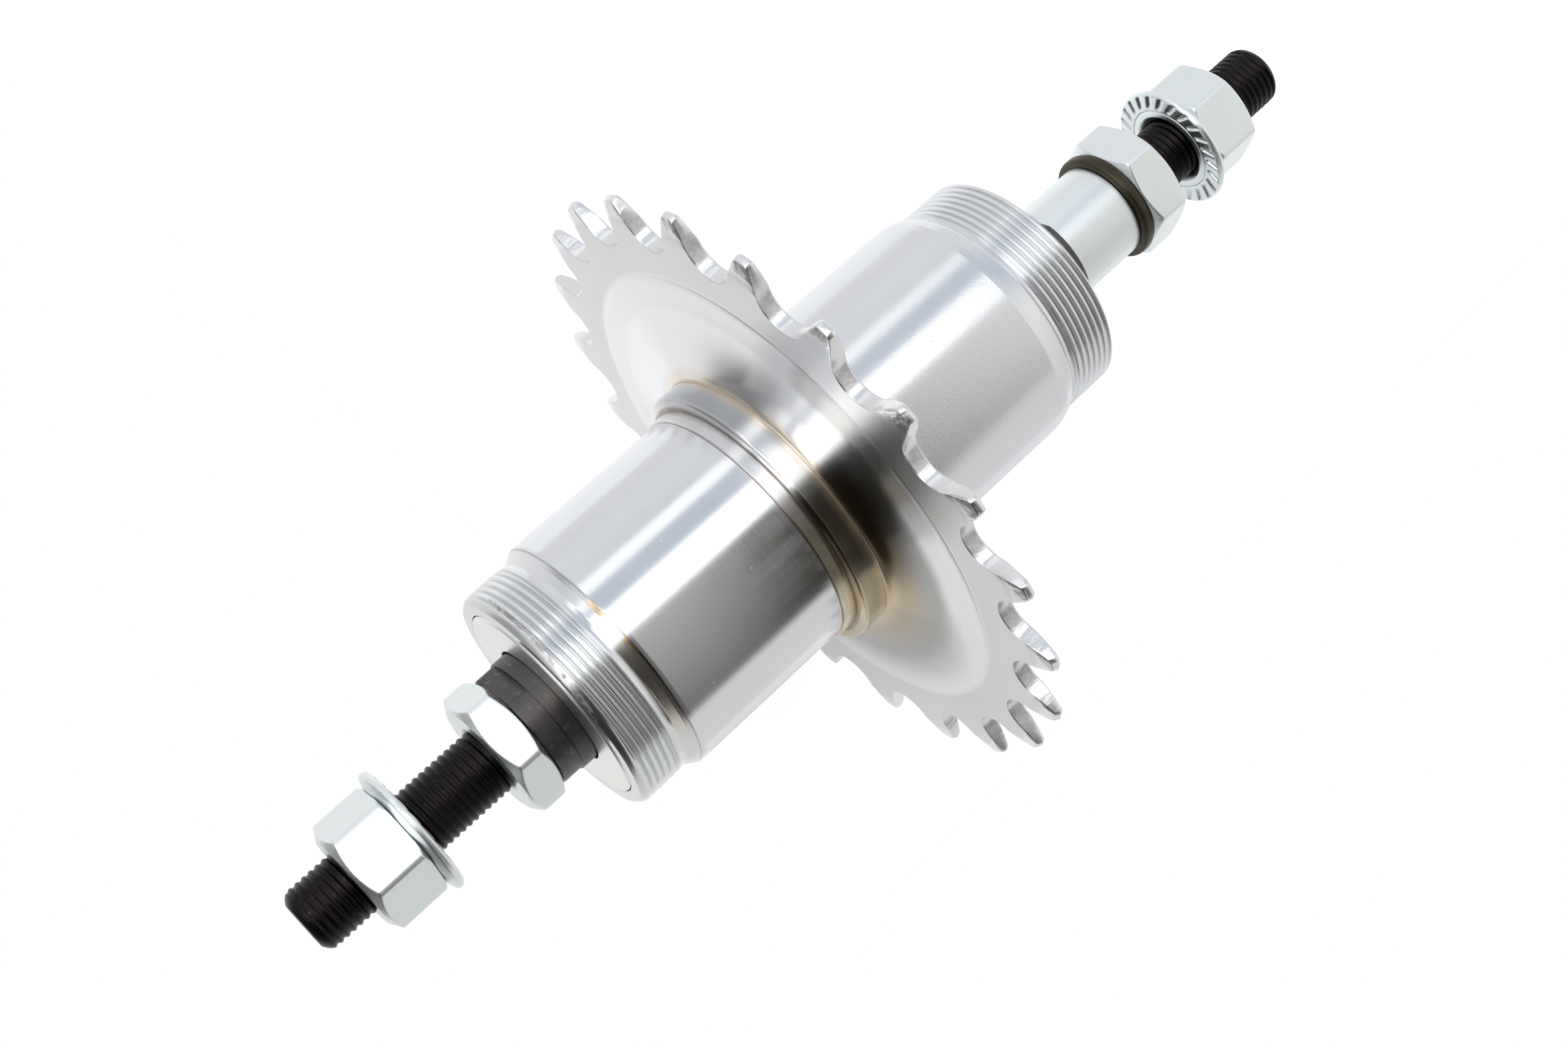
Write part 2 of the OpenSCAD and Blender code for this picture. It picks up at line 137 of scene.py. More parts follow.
class Works:
    """Adds nodes to one node tree."""

    def __init__(self, tree):
        self.tree = tree

    def node(self, kind, sockets=None, settings=None):
        """A node of that kind, with the values or links of its sockets, and its settings."""
        made = self.tree.nodes.new(kind)
        for name, value in (settings or {}).items():
            if name == "stops":
                self.set_stops(made.color_ramp, value)
            else:
                setattr(made, name, value)
        for name, value in (sockets or {}).items():
            socket = made.inputs[name]
            if isinstance(value, Wire):
                self.tree.links.new(value.socket, socket)
            else:
                socket.default_value = value
        return made

    def set_stops(self, ramp, stops):
        while len(ramp.elements) > 1:
            ramp.elements.remove(ramp.elements[0])
        for i, (place, colour) in enumerate(stops):
            stop = ramp.elements[0] if i == 0 else ramp.elements.new(place)
            stop.position = place
            stop.color = (*colour, 1)

    def wire(self, kind, sockets=None, settings=None, output=0):
        """One output of a new node."""
        return Wire(self, self.node(kind, sockets, settings).outputs[output])

    def maths(self, operation, first, second=0.0, third=0.0, clamp=False):
        """A Math node's result."""
        settings = {"operation": operation, "use_clamp": clamp}
        return self.wire("ShaderNodeMath", {0: first, 1: second, 2: third}, settings)

    def clamp(self, value):
        return self.maths("ADD", value, 0.0, clamp=True)

    def step(self, value, low, high):
        """0 below low, 1 above high, and smooth between them. High may be the lower one."""
        settings = {"interpolation_type": "SMOOTHSTEP"}
        return self.wire("ShaderNodeMapRange", {0: value, 1: low, 2: high, 3: 0.0, 4: 1.0}, settings)

    def lowest(self, *values):
        least = values[0]
        for value in values[1:]:
            least = self.maths("MINIMUM", least, value)
        return least

    def vector(self, x, y, z):
        return self.wire("ShaderNodeCombineXYZ", {0: x, 1: y, 2: z})

    def scaled(self, vector, scale):
        return self.wire("ShaderNodeVectorMath", {0: vector, "Scale": scale}, {"operation": "SCALE"})

    def on_circle(self, radius, place, angle):
        """A point round the axle. It takes millimetres and gives metres."""
        x = radius * self.maths("COSINE", angle)
        z = radius * self.maths("SINE", angle)
        return self.scaled(self.vector(x, place, z), MM)

    def parts(self, vector):
        node = self.node("ShaderNodeSeparateXYZ", {0: vector})
        return [Wire(self, out) for out in node.outputs[:3]]

    def mixed(self, factor, first, second):
        """A mix of two colours."""
        node = self.node("ShaderNodeMix", {"Factor": factor}, {"data_type": "RGBA"})
        for name, value in (("A_Color", first), ("B_Color", second)):
            socket = next(s for s in node.inputs if s.identifier == name)
            if isinstance(value, Wire):
                self.tree.links.new(value.socket, socket)
            else:
                socket.default_value = (*value, 1)
        return Wire(self, next(s for s in node.outputs if s.identifier == "Result_Color"))


def new_tree(name, counts, sizes):
    """A Geometry Nodes tree from geometry to geometry, with named counts and sizes and a finish as inputs."""
    tree = bpy.data.node_groups.new(name, "GeometryNodeTree")
    inputs = [("Geometry", "Geometry")] + [(count, "Int") for count in counts]
    inputs += [(size, "Float") for size in sizes] + [("Finish", "Material")]
    for label, kind in inputs:
        tree.interface.new_socket(label, in_out="INPUT", socket_type="NodeSocket" + kind)
    tree.interface.new_socket("Geometry", in_out="OUTPUT", socket_type="NodeSocketGeometry")
    works = Works(tree)
    group = works.node("NodeGroupInput")
    return works, {out.name: Wire(works, out) for out in group.outputs if out.name}


def end_tree(works, geometry, material):
    """Every tree ends by making its copies real, welding them and giving them their finish."""
    real = works.wire("GeometryNodeRealizeInstances", {"Geometry": geometry})
    welded = works.wire("GeometryNodeMergeByDistance", {"Geometry": real, "Distance": WELD_DISTANCE})
    finished = works.wire("GeometryNodeSetMaterial", {"Geometry": welded, "Material": material})
    works.node("NodeGroupOutput", {"Geometry": finished})
    return works.tree


def copies_round_axle_tree():
    """Repeats a sector all the way round the axle."""
    works, given = new_tree("Copies round the axle", ["Copies"], ["First Angle"])
    index = works.wire("GeometryNodeInputIndex")
    points = works.wire("GeometryNodePoints", {"Count": given["Copies"]})
    angle = given["First Angle"] + index * TURN / given["Copies"]
    placed = works.wire("GeometryNodeInstanceOnPoints", {
        "Points": points,
        "Instance": given["Geometry"],
        "Rotation": works.wire("FunctionNodeEulerToRotation", {0: works.vector(0.0, 0 - angle, 0.0)}),
    })
    return end_tree(works, placed, given["Finish"])


def screw_thread_tree():
    """Adds a right-hand thread to a turned surface. Each row of its grid follows the helix, and the rows
    that would pass an end of the thread are gathered there."""
    works, given = new_tree("Screw thread", ["Steps Round", "Steps a Turn"], [
        "Start", "End", "Radius", "Depth", "Pitch", "Groove Share", "Root Share", "Start Bevel", "Start Drop",
        "End Bevel", "End Drop", "Bevel Curve", "Start Land"])
    start, end, radius, pitch = (given[n] for n in ("Start", "End", "Radius", "Pitch"))
    turns = works.maths("CEIL", (end - start) / pitch + 1)
    grid = works.wire("GeometryNodeMeshGrid", {
        "Size X": 1.0,
        "Size Y": 1.0,
        "Vertices X": given["Steps Round"] + 1,
        "Vertices Y": turns * given["Steps a Turn"] + 1,
    })
    across, along, _ = works.parts(works.wire("GeometryNodeInputPosition"))
    share = across + 0.5
    place = start + ((along + 0.5) * turns - share) * pitch
    place = works.lowest(works.maths("MAXIMUM", place, start), end)
    phase = works.maths("FRACT", (place - start) / pitch + share)
    from_groove = abs(phase - 0.5) * 2
    cut = works.step(from_groove, given["Groove Share"], given["Root Share"])
    cut = cut * works.step(place - start, given["Start Land"], given["Start Land"] + 0.2)
    start_slope = works.clamp(1 - (place - start) / given["Start Bevel"]) ** given["Bevel Curve"]
    end_slope = works.clamp(1 - (end - place) / given["End Bevel"]) ** given["Bevel Curve"]
    surface = works.lowest(radius - given["Depth"] * cut, radius - given["Start Drop"] * start_slope,
                           radius - given["End Drop"] * end_slope)
    position = works.on_circle(surface, place, share * TURN)
    bent = works.wire("GeometryNodeSetPosition", {"Geometry": grid, "Position": position})
    join = works.node("GeometryNodeJoinGeometry")
    works.tree.links.new(given["Geometry"].socket, join.inputs[0])
    works.tree.links.new(bent.socket, join.inputs[0])
    return end_tree(works, Wire(works, join.outputs[0]), given["Finish"])


def ball_ring_tree():
    """Replaces a spare point with a ring of balls."""
    works, given = new_tree("Ball ring", ["Balls"], ["Ball Radius", "Circle Radius", "Place"])
    angle = works.wire("GeometryNodeInputIndex") * TURN / given["Balls"]
    centre = works.on_circle(given["Circle Radius"], given["Place"], angle)
    points = works.wire("GeometryNodePoints", {"Count": given["Balls"], "Position": centre})
    radius = given["Ball Radius"] * MM
    ball = works.wire("GeometryNodeMeshIcoSphere", {"Radius": radius, "Subdivisions": 5})
    placed = works.wire("GeometryNodeInstanceOnPoints", {"Points": points, "Instance": ball})
    return end_tree(works, placed, given["Finish"])


def add_tree(piece, tree, **sizes):
    """Puts a tree on a piece. Each size is set by its socket's identifier."""
    identifiers = {item.name: item.identifier for item in tree.interface.items_tree
                   if item.item_type == "SOCKET" and item.in_out == "INPUT"}
    modifier = piece.modifiers.new(tree.name, "NODES")
    modifier.node_group = tree
    for name, value in sizes.items():
        modifier[identifiers[name.replace("_", " ")]] = value


# Meshes

def new_piece(name, points, faces):
    """An object at the origin with its place in its mesh. Points are in millimetres."""
    mesh = bpy.data.meshes.new(name)
    mesh.from_pydata([Vector(p) * MM for p in points], [], faces)
    piece = bpy.data.objects.new(name, mesh)
    bpy.context.scene.collection.objects.link(piece)
    return piece


def round_axle(radius, place, angle):
    """A point round the axle, its angle from +X towards +Z."""
    return (radius * math.cos(angle), place, radius * math.sin(angle))


def filleted(corners, closed=True, steps=4):
    """Rounds the corners of an outline in radius and place. Each corner is (radius, place, fillet)."""
    points = []
    count = len(corners)
    for i, (r, y, fillet) in enumerate(corners):
        corner = Vector((r, y))
        if not fillet or (not closed and i in (0, count - 1)):
            points.append((r, y))
            continue
        before = Vector(corners[i - 1][:2]) - corner
        after = Vector(corners[(i + 1) % count][:2]) - corner
        reach = 0.48 * min(before.length, after.length)
        before.normalize()
        after.normalize()
        half = 0.5 * math.acos(max(-1.0, min(1.0, before.dot(after))))
        if half > 0.499 * math.pi or half < 1e-3:
            points += [(r, y)] * (steps + 1)
            continue
        radius = min(fillet, reach * math.tan(half))
        middle = corner + (before + after).normalized() * radius / math.sin(half)
        first = corner + before * radius / math.tan(half) - middle
        last = corner + after * radius / math.tan(half) - middle
        sweep = first.angle_signed(last)
        for k in range(steps + 1):
            turned = first.copy()
            turned.rotate(Matrix.Rotation(-sweep * k / steps, 2))
            points.append(tuple(middle + turned))
    return points


def grid_faces(columns, rows, wrap_columns, wrap_rows):
    """Faces of a grid whose points run along the rows first."""
    faces = []
    for i in range(columns if wrap_columns else columns - 1):
        for j in range(rows if wrap_rows else rows - 1):
            here = i * rows
            there = (i + 1) % columns * rows
            up = (j + 1) % rows
            faces.append((here + j, here + up, there + up, there + j))
    return faces


def polar_piece(name, sections, angles):
    """A piece from one closed section for each angle round the axle."""
    points = [round_axle(r, y, a) for section, a in zip(sections, angles) for r, y in section]
    return new_piece(name, points, grid_faces(len(angles), len(sections[0]), True, True))


def even_angles(count):
    """Angles all the way round, from 0."""
    return [TURN * i / count for i in range(count)]


def turned_piece(name, outline, steps_round):
    """A piece turned on a lathe from one closed outline."""
    return polar_piece(name, [outline] * steps_round, even_angles(steps_round))


def make_plain(piece):
    """Makes the result of a piece's modifiers its plain mesh."""
    graph = bpy.context.evaluated_depsgraph_get()
    mesh = bpy.data.meshes.new_from_object(piece.evaluated_get(graph))
    piece.modifiers.clear()
    piece.data = mesh
    return mesh


def settle(piece):
    """Makes a piece plain, welded, facing outwards and smooth."""
    mesh = make_plain(piece)
    mesh.name = piece.name
    work = bmesh.new()
    work.from_mesh(mesh)
    bmesh.ops.remove_doubles(work, verts=work.verts, dist=WELD_DISTANCE / 2)
    bmesh.ops.dissolve_degenerate(work, edges=work.edges, dist=WELD_DISTANCE / 2)
    bmesh.ops.recalc_face_normals(work, faces=work.faces)
    for face in work.faces:
        face.smooth = True
    work.to_mesh(mesh)
    work.free()


def weigh_normals(piece):
    """Lets the large faces set the shading, so that only the fillets look round."""
    modifier = piece.modifiers.new("Weighted normals", "WEIGHTED_NORMAL")
    modifier.mode = "FACE_AREA"
    modifier.weight = 60
    make_plain(piece)


def hand_over(piece, body, finish, node):
    """Gives a piece its finish and its body, and lets it stand for its CAD node."""
    settle(piece)
    weigh_normals(piece)
    piece.data.materials.clear()
    piece.data.materials.append(finish)
    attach(piece, body)
    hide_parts(node)


# Shapes

def side_of(side, outline):
    """An outline measured outwards from the shell's middle, put on one side."""
    return [(r, SHELL_MIDDLE + side * s, f) for r, s, f in outline]


def arc_points(centre, radius, start, end, steps):
    """Corners along an arc, angles in degrees from the radius towards the axle's direction."""
    angles = [math.radians(start + (end - start) * i / steps) for i in range(steps + 1)]
    return [(centre[0] + radius * math.cos(a), centre[1] + radius * math.sin(a), 0) for a in angles]


def turned_bands(name, outlines, steps_round):
    """A piece of several open turned surfaces."""
    points = []
    faces = []
    for outline in outlines:
        first = len(points)
        points += [round_axle(r, y, a) for a in even_angles(steps_round) for r, y in outline]
        band = grid_faces(steps_round, len(outline), True, False)
        faces += [tuple(first + i for i in face) for face in band]
    return new_piece(name, points, faces)


def hex_outline(across_flats, flat_angle):
    """Angles and radii round a hexagon with slightly rounded edges, its flat at the given angle."""
    edge_radius = 0.9
    edge_steps = 4
    flat_steps = 9
    corner = across_flats / math.sqrt(3)
    edges = [math.radians(60 * i + 30) for i in range(6)]
    corners = [(corner * math.cos(a), corner * math.sin(a), edge_radius) for a in edges]
    rounded = filleted(corners, True, edge_steps)
    outline = []
    for i, (x, z) in enumerate(rounded):
        outline.append((x, z))
        if i % (edge_steps + 1) == edge_steps:
            next_x, next_z = rounded[(i + 1) % len(rounded)]
            shares = [k / flat_steps for k in range(1, flat_steps)]
            outline += [(x + (next_x - x) * share, z + (next_z - z) * share) for share in shares]
    angles = [math.atan2(z, x) + math.radians(flat_angle) for x, z in outline]
    return angles, [math.hypot(x, z) for x, z in outline]


def hex_end(radius, corner, chamfer, end, outwards):
    """The turned-off corner of a hex: where it meets the end face and where it meets the flat."""
    face_r = min(corner - chamfer, radius - 0.06)
    drop = max(0.04, (radius - corner + chamfer) * HEX_SLOPE)
    return [(face_r, end, 0.3), (radius, end - outwards * drop, 0.4)]


def lock_nut(node, start, end, chamfer, flat_angle, finish):
    """A hex nut that is chamfered on both sides."""
    corner = LOCK_NUT_FLATS / math.sqrt(3)
    bore = AXLE_R + 0.01
    sink = 0.55
    angles, radii = hex_outline(LOCK_NUT_FLATS, flat_angle)
    sections = []
    for radius in radii:
        outline = [(bore, start + sink, 0), (bore + sink, start, 0.1)]
        outline += hex_end(radius, corner, chamfer, start, -1)
        outline += reversed(hex_end(radius, corner, chamfer, end, 1))
        outline += [(bore + sink, end, 0.1), (bore, end - sink, 0)]
        sections.append(filleted(outline, True, 3))
    piece = polar_piece(node + "_pressed", sections, angles)
    hand_over(piece, "axle_set", finish, node)


def axle_nut(side, face, flat_angle, finish):
    """A hex with a neck, and on it the lip that holds the washer. Places are measured outwards."""
    corner = AXLE_NUT_FLATS / math.sqrt(3)
    bore = AXLE_R + 0.05
    sink = 0.85
    start = side * face
    lip_r = 6.65
    lip_end = start + 0.55
    neck_r = 6.1
    hex_start = start + 1.85
    hex_stop = hex_start + 8.4
    angles, radii = hex_outline(AXLE_NUT_FLATS, flat_angle)
    sections = []
    for radius in radii:
        outline = [(bore, start + sink, 0), (bore + sink, start, 0.08), (lip_r, start, 0.25),
                   (lip_r, lip_end, 0.12), (neck_r, lip_end, 0), (neck_r, hex_start, 0)]
        outline += hex_end(radius, corner, 0.75, hex_start, -1)
        outline += reversed(hex_end(radius, corner, 1.9, hex_stop, 1))
        outline += [(bore + sink, hex_stop, 0.1), (bore, hex_stop - sink, 0)]
        sections.append([(r, side * y) for r, y in filleted(outline, True, 3)])
    end = END_NAME[side]
    piece = polar_piece(end + "_axle_nut_pressed", sections, angles)
    hand_over(piece, end + "_nut", finish, end + "_axle_nut")


def nut_washer(side, face, tree, finish):
    """The captive washer: one of its serrations, repeated round the axle. Heights are above its face."""
    deepest = 0.35
    lean = math.radians(28)
    root_r = 7.15
    # How deep the serration is over its share of the circle: a slope down and a steep way up
    shape = [(0.0, 0.0), (0.16, 0.0), (0.26, 0.03), (0.34, 0.16), (0.42, 0.5), (0.48, 0.88), (0.54, 1.0),
             (0.62, 1.0), (0.68, 0.7), (0.72, 0.16), (0.78, 0.0), (0.9, 0.0), (1.0, 0.0)]
    radii = [7.0, 7.15, 7.35, 7.7, 8.1, 8.5, 8.9, 9.1, 9.22, 9.35]
    bore = [(6.7, 0.6), (6.7, 0.08), (6.78, 0.0)]
    rim_and_back = [(9.44, 0.33), (9.5, 0.46), (9.5, 0.86), (9.42, 1.04), (9.24, 1.16), (8.3, 1.5),
                    (7.6, 1.77), (7.4, 1.8), (6.15, 1.8), (6.15, 0.6)]
    points = []
    for share, depth in shape:
        teeth = []
        for r in radii:
            fade = min(1.0, max(0.0, (r - 7.0) / 0.35)) * min(1.0, max(0.0, (9.3 - r) / 0.3))
            edge = max(0.0, r - 9.15)
            teeth.append((r, max(edge, deepest * depth * fade)))
        column = bore + teeth + rim_and_back
        for r, height in column:
            reach = max(root_r, r)
            along = -root_r * math.cos(lean) + math.sqrt(reach ** 2 - (root_r * math.sin(lean)) ** 2)
            bend = math.atan2(along * math.sin(lean), root_r + along * math.cos(lean))
            angle = bend + share * TURN / SERRATIONS
            points.append(round_axle(r, face + side * height, -side * angle))
    end = END_NAME[side]
    faces = grid_faces(len(shape), len(points) // len(shape), False, True)
    piece = new_piece(end + "_washer_serrated", points, faces)
    add_tree(piece, tree, Copies=SERRATIONS, First_Angle=-0.5 * TURN / SERRATIONS, Finish=finish)
    hand_over(piece, end + "_washer", finish, end + "_nut_washer")


def cone(side, finish):
    """A bearing cone with two wrench flats at its outer end."""
    flat = math.radians(122)
    flat_r = 7.5
    end_r = 8.6
    collar_r = 8.85
    bore = AXLE_R + 0.01
    inner_end = 36.6
    flat_start = 47.2
    outer_end = 50.2
    half = math.acos(flat_r / end_r)
    flat_edges = [(flat + half * k + math.pi * m) % TURN for k in (-1, 1) for m in (0, 1)]
    angles = sorted(even_angles(120) + flat_edges)
    race_end = 180 - math.degrees(math.acos((BALL_CIRCLE_R - collar_r) / CONE_RACE_R))
    sections = []
    for angle in angles:
        off = abs(math.cos(angle - flat))
        radius = min(end_r, flat_r / off) if off > 0.5 else end_r
        outline = [(bore, inner_end, 0), (6.98, inner_end, 0), (7.48, inner_end + 0.5, 0)]
        outline += arc_points((BALL_CIRCLE_R, BALL_PLACE), CONE_RACE_R, 180, race_end, 8)
        outline += [(collar_r, flat_start, 0.15), (radius, flat_start, 0.08), (radius, outer_end, 0.3),
                    (bore + 0.4, outer_end, 0), (bore, outer_end - 0.4, 0)]
        sections.append(filleted(side_of(side, outline), True, 3))
    end = END_NAME[side]
    piece = polar_piece(end + "_cone_turned", sections, angles)
    hand_over(piece, "axle_set", finish, end + "_cone")


def dust_cap(side, finish):
    """A pressed cap: a disc with a hole for the cone, and a skirt that sits in the shell."""
    sheet = 0.8
    hole_r = 9.1
    skirt_r = 14.9
    skirt_end = 41.3
    face = 45.0
    outline = [(hole_r, face - sheet, 0.1), (skirt_r - sheet, face - sheet, 0.4),
               (skirt_r - sheet, skirt_end, 0.1), (skirt_r, skirt_end, 0.1), (skirt_r, face, 0.45),
               (hole_r, face, 0.2)]
    end = END_NAME[side]
    piece = turned_piece(end + "_dust_cap_pressed", filleted(side_of(side, outline), True, 5), 160)
    hand_over(piece, "hub", finish, end + "_dust_cap")


def axle(tree, finish):
    """A thread from each tip to its cone, and a plain part between the cones."""
    steps_round = 96
    tip_drop = 1.3
    cone_drop = 0.55
    tip_r = THREAD_CREST_R - tip_drop
    cone_r = THREAD_CREST_R - cone_drop
    centre_r = 1.2
    left = [(0.0, LEFT_TIP), (centre_r, LEFT_TIP), (tip_r, LEFT_TIP)]
    middle = [(cone_r, LEFT_CONE_END), (AXLE_R, LEFT_CONE_END), (AXLE_R, -36.3), (AXLE_CORE_R, -35.3),
              (AXLE_CORE_R, 35.9), (AXLE_R, 36.9), (AXLE_R, RIGHT_CONE_END), (cone_r, RIGHT_CONE_END)]
    right = [(tip_r, RIGHT_TIP), (centre_r, RIGHT_TIP), (0.0, RIGHT_TIP)]
    piece = turned_bands("axle_threaded", [left, middle, right], steps_round)
    common = dict(Radius=THREAD_CREST_R, Depth=0.26, Pitch=THREAD_PITCH, Groove_Share=0.85, Root_Share=0.1,
                  Bevel_Curve=2.2, Start_Land=-1.0, Steps_Round=steps_round, Steps_a_Turn=8, Finish=finish)
    add_tree(piece, tree, Start=LEFT_TIP, End=LEFT_CONE_END, Start_Bevel=1.6, Start_Drop=tip_drop,
             End_Bevel=0.4, End_Drop=cone_drop, **common)
    add_tree(piece, tree, Start=RIGHT_CONE_END, End=RIGHT_TIP, Start_Bevel=0.4, Start_Drop=cone_drop,
             End_Bevel=1.6, End_Drop=tip_drop, **common)
    hand_over(piece, "axle_set", finish, "axle")


def hub_shell(tree, finish):
    """The turned tube, with a thread and a neck on each side and a groove for the stop ring."""
    steps_round = 192
    left_thread = -38.25
    right_thread = 37.4
    left_rim = SHELL_MIDDLE - RIM
    right_rim = SHELL_MIDDLE + RIM
    left_seat = SHELL_MIDDLE - CUP_SEAT
    right_seat = SHELL_MIDDLE + CUP_SEAT
    root_r = HUB_THREAD_R - 0.45
    groove_r = SHELL_R - 0.8
    # The tube ends in a small step with a fine notch on the left and in a soft rounding on the right
    outer = [(root_r, left_thread, 0), (17.4, left_thread + 0.12, 0.1), (17.28, -37.6, 0.5),
             (NECK_R + 0.1, -37.0, 0.7), (17.9, -35.78, 0.6), (SHELL_R - 0.1, -35.15, 0.4),
             (SHELL_R, -34.6, 0.5), (SHELL_R, -33.9, 0.5)]
    outer += [(SHELL_R, STOP_START, 0.06), (groove_r, STOP_START, 0), (groove_r, STOP_END, 0),
              (SHELL_R, STOP_END, 0.06)]
    outer += [(SHELL_R, 33.3, 2.0), (SHELL_R - 0.1, 34.4, 2.0), (17.85, 36.0, 1.2), (17.5, 36.55, 0.15),
              (NECK_R, 36.8, 0.1), (NECK_R, right_thread - 0.12, 0.05), (root_r, right_thread, 0)]
    inner = [(HUB_THREAD_R - 0.5, right_rim, 0), (CUP_R, right_rim, 0.2), (CUP_R, right_seat, 0),
             (CORE_R, right_seat, 0), (CORE_R, left_seat, 0), (CUP_R, left_seat, 0), (CUP_R, left_rim, 0.2),
             (HUB_THREAD_R - 0.8, left_rim, 0)]
    outlines = [filleted(outer, False), filleted(inner, False)]
    piece = turned_bands("hub_shell_turned", outlines, steps_round)
    common = dict(Radius=HUB_THREAD_R, Depth=0.4, Pitch=THREAD_PITCH, Groove_Share=0.66, Root_Share=0.0,
                  Steps_Round=steps_round, Steps_a_Turn=14, Finish=finish)
    add_tree(piece, tree, Start=left_rim, End=left_thread, Start_Bevel=1.3, Start_Drop=0.8, Start_Land=0.75,
             End_Bevel=0.45, End_Drop=0.45, Bevel_Curve=2.0, **common)
    add_tree(piece, tree, Start=right_thread, End=right_rim, Start_Bevel=0.25, Start_Drop=0.45,
             Start_Land=-1.0, End_Bevel=0.45, End_Drop=0.5, Bevel_Curve=1.0, **common)
    hand_over(piece, "hub", finish, "hub_shell")


def tooth_gap_edge():
    """From the middle of the gap between two teeth to the middle of a tooth: angles and radii."""
    pitch_r = CHAIN_PITCH / 2 / math.sin(HALF_TOOTH)
    tip_r = pitch_r + 3.3
    tip_fillet = 0.95
    seat_r = 3.925
    seat_steps = 8
    seat_end = math.radians(73)
    flank_r = 15.0
    flank_steps = 5
    edge = Vector((pitch_r - seat_r * math.cos(seat_end), seat_r * math.sin(seat_end)))
    centre = edge + flank_r * Vector((-math.cos(seat_end), math.sin(seat_end)))
    seat = [seat_end * i / seat_steps for i in range(seat_steps)]
    points = [(pitch_r - seat_r * math.cos(b), seat_r * math.sin(b), 0) for b in seat]
    # The flank ends where it comes out to the tip's radius
    low, high = -seat_end, math.radians(-46)
    for _ in range(40):
        middle = (low + high) / 2
        reach = (centre + flank_r * Vector((math.cos(middle), math.sin(middle)))).length
        low, high = (middle, high) if reach < tip_r else (low, middle)
    # The tip's fillet takes the place of the flank's last step but one
    for i in [*range(flank_steps - 1), flank_steps]:
        a = (low + seat_end) * i / flank_steps - seat_end
        fillet = tip_fillet if i == flank_steps else 0
        points.append((centre.x + flank_r * math.cos(a), centre.y + flank_r * math.sin(a), fillet))
    points.append((tip_r * math.cos(HALF_TOOTH), tip_r * math.sin(HALF_TOOTH), 0))
    return [(math.atan2(z, x), math.hypot(x, z)) for x, z in filleted(points, False, 6)]


def sprocket_section(radius):
    """The section of the sprocket where its edge has this radius. Teeth get thinner from their bevel out."""
    bevel_start = 43.62
    bevel_length = 4.3
    flat_r = 38.3
    tip_share = max(0.0, min(1.0, (radius - bevel_start) / bevel_length))
    tip_half = SHEET_HALF - 0.5 * tip_share
    side = radius - 0.32 * tip_share
    ring = min(bevel_start, radius - 0.5)
    bevel = [(ring + (side - ring) * share, SHEET_HALF + (tip_half - SHEET_HALF) * share ** 1.7)
             for share in (0.35, 0.7)]
    outline = [(SHELL_R + 0.01, STOP_END, 0.06), (COLLAR_R, STOP_END, 0.5), (COLLAR_R, COLLAR_FOOT, 0.3)]
    outline += arc_points(DISH_CENTRE, DISH_FRONT_R, 107.24, 90, 14)
    outline += [(DISC_R, -SHEET_HALF, 0.25), (flat_r, -SHEET_HALF, 0), (ring, -SHEET_HALF, 0)]
    outline += [(r, -y, 0) for r, y in bevel]
    outline += [(side, -tip_half, 0.3), (radius, 0, 0), (side, tip_half, 0.3)]
    outline += [(r, y, 0) for r, y in reversed(bevel)]
    outline += [(ring, SHEET_HALF, 0), (flat_r, SHEET_HALF, 0), (DISC_R, SHEET_HALF, 0.25)]
    outline += arc_points(DISH_CENTRE, DISH_BACK_R, 90, 108.9, 14)
    outline += [(SHELL_R + 0.02, -1.89, 0.08)]
    return filleted(outline, True, 4)


def sprocket(tree, finish):
    """One tooth gap with its share of the disc, repeated for each tooth. Its columns stand evenly in the
    disc, and between 37 and 40 mm they turn to the places that the teeth need."""
    edge = tooth_gap_edge()
    wedge = [(-a, r) for a, r in reversed(edge[1:])] + edge
    points = []
    for i, (angle, edge_r) in enumerate(wedge):
        even = HALF_TOOTH * (2 * i / (len(wedge) - 1) - 1)
        for r, y in sprocket_section(edge_r):
            near_edge = min(1.0, max(0.0, (r - 37.0) / 3.0))
            points.append(round_axle(r, y, even + (angle - even) * near_edge))
    rows = len(points) // len(wedge)
    piece = new_piece("sprocket_cut", points, grid_faces(len(wedge), rows, False, True))
    add_tree(piece, tree, Copies=TEETH, First_Angle=FIRST_TOOTH + HALF_TOOTH, Finish=finish)
    hand_over(piece, "hub", finish, "sprocket")


def ball_ring(side, tree, finish):
    """The balls of one bearing."""
    end = END_NAME[side]
    piece = new_piece(end + "_balls_ground", [(0, 0, 0)], [])
    add_tree(piece, tree, Balls=BALLS, Ball_Radius=BALL_R, Circle_Radius=BALL_CIRCLE_R,
             Place=SHELL_MIDDLE + side * BALL_PLACE, Finish=finish)
    hand_over(piece, end + "_balls", finish, end + "_bearing_balls")


